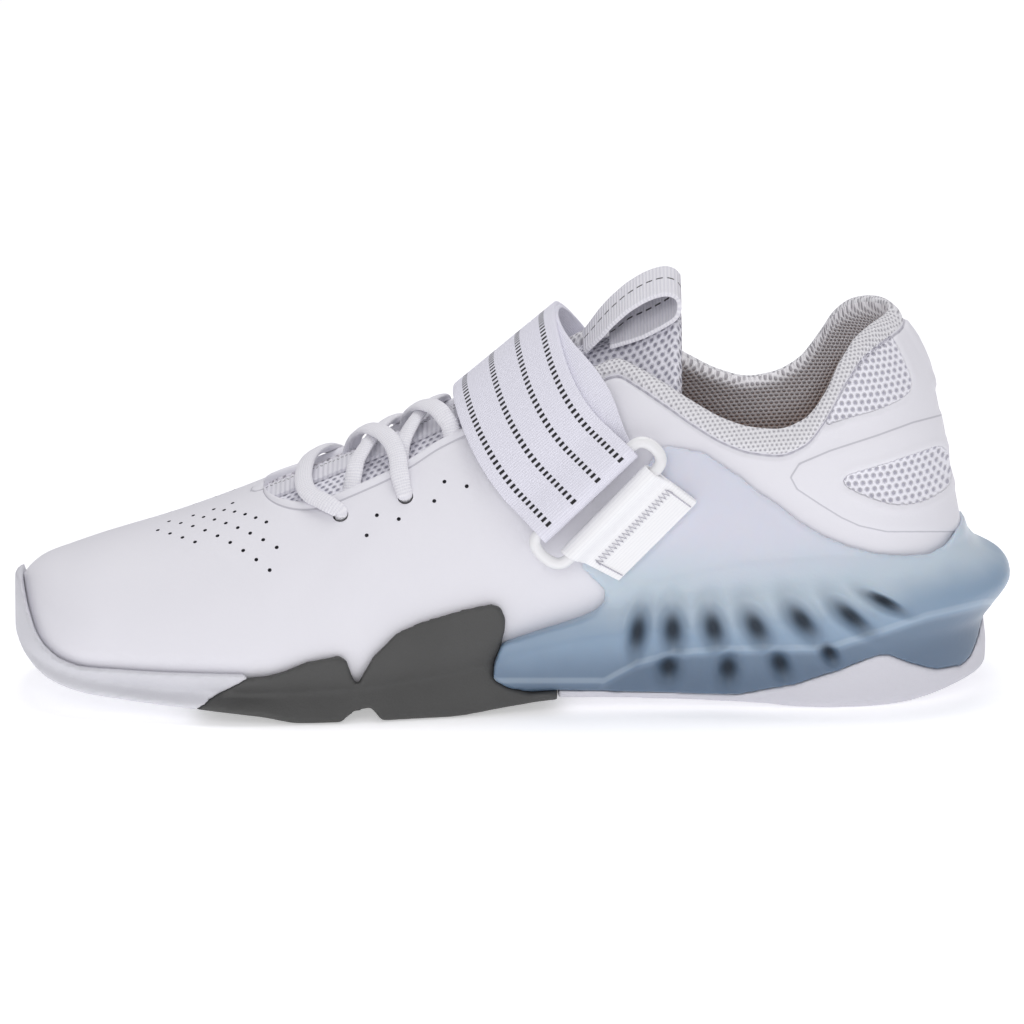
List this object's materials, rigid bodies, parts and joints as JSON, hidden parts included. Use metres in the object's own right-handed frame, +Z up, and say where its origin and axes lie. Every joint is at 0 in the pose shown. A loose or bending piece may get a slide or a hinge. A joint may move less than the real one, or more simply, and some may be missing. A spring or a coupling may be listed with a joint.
{
  "type": "weightlifting shoe",
  "caption": "low white training shoe with a raised translucent heel wedge, laces and an instep strap that runs through a ring and folds back on itself",
  "frame": {"origin": "on the floor under the middle of the heel, on the flat spot of the heel outsole", "axes": "+X from toe to heel, +Z up, -Y to the medial side of a right foot"},
  "size_m": [0.3058, 0.1105, 0.1291],
  "materials": {
    "toe_rubber": "light grey rubber, matt",
    "forefoot_rubber": "dark grey rubber, matt",
    "heel_rubber": "off-white rubber, matt",
    "clip_plastic": "translucent blue-grey, satin",
    "upper_skin": "smooth white synthetic skin",
    "tongue_mesh": "white spacer mesh",
    "insole_fabric": "muted orange textile",
    "strap_webbing": "white ribbed webbing with dark dashes",
    "ring_plastic": "white moulded plastic",
    "tab_webbing": "white smooth tape",
    "lace_cord": "white knitted lace",
    "loop_webbing": "white ribbed tape with dark dashes",
    "strip_webbing": "white ribbed tape with dark dashes"
  },
  "bodies": {
    "root": {"outsole_toe": "toe_rubber", "outsole_forefoot": "forefoot_rubber", "outsole_heel": "heel_rubber", "heel_clip": "clip_plastic", "upper": "upper_skin", "tongue": "tongue_mesh", "insole": "insole_fabric", "strap": "strap_webbing", "strap_ring": "ring_plastic", "ring_tab": "tab_webbing", "laces": "lace_cord", "pull_loop": "loop_webbing", "tongue_webbing": "strip_webbing"}
  },
  "joints": []
}
